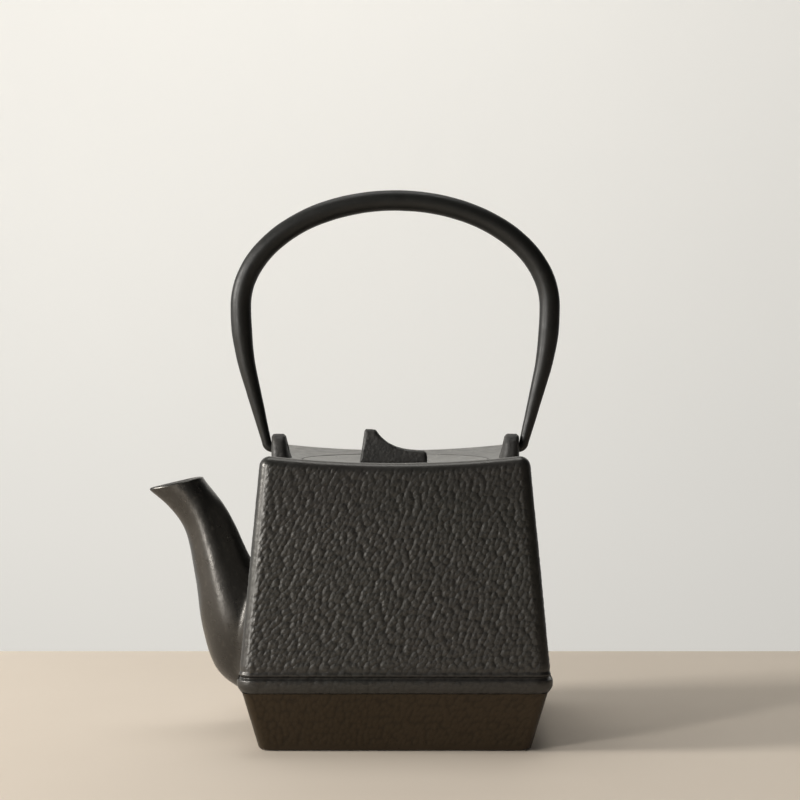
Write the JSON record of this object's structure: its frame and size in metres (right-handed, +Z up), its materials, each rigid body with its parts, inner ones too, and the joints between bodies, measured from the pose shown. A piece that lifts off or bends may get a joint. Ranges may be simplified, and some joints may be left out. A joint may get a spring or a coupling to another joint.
{
  "type": "cast iron teapot",
  "caption": "Square cast iron teapot with a folding bail handle, a flush round lid with a fin knob, a beaked spout and a lift-out tea strainer.",
  "frame": {"origin": "centre of the base's underside, on the surface that the teapot stands on", "axes": "+Z up, the spout points to -X, and the teapot is a mirror image of itself in the plane Y = 0"},
  "size_m": [0.1658, 0.1188, 0.2156],
  "materials": {
    "pebbled_iron": "satin black over a pebbled casting",
    "smooth_iron": "smooth satin black",
    "sand_iron": "satin black over a fine sand casting",
    "handle_iron": "smooth satin black",
    "stainless_steel": "brushed"
  },
  "bodies": {
    "pot": {"upper_body": "pebbled_iron", "base_pan": "pebbled_iron", "spout": "smooth_iron", "lug_right": "sand_iron", "lug_left": "sand_iron"},
    "handle": {"handle": "handle_iron"},
    "lid": {"lid": "smooth_iron", "lid_knob": "sand_iron", "knob_washer": "sand_iron"},
    "strainer": {"strainer_collar": "stainless_steel", "strainer_mesh_wall": "stainless_steel", "strainer_mesh_base": "stainless_steel", "strainer_foot_band": "stainless_steel"}
  },
  "joints": [
    {"name": "handle_swing", "type": "hinge", "parent": "pot", "child": "handle", "pos_m": [0, 0, 0.112], "axis": [1, 0, 0], "range_deg": [-125, 125]},
    {"name": "lid_lift", "type": "slide", "parent": "pot", "child": "lid", "axis": [0, 0, 1], "range_m": [0, 0.075]},
    {"name": "strainer_lift", "type": "slide", "parent": "pot", "child": "strainer", "axis": [0, 0, 1], "range_m": [0, 0.06]}
  ],
  "couplings": [
    {"joint": "strainer_lift", "follows": "lid_lift", "ratio": 0.8}
  ]
}
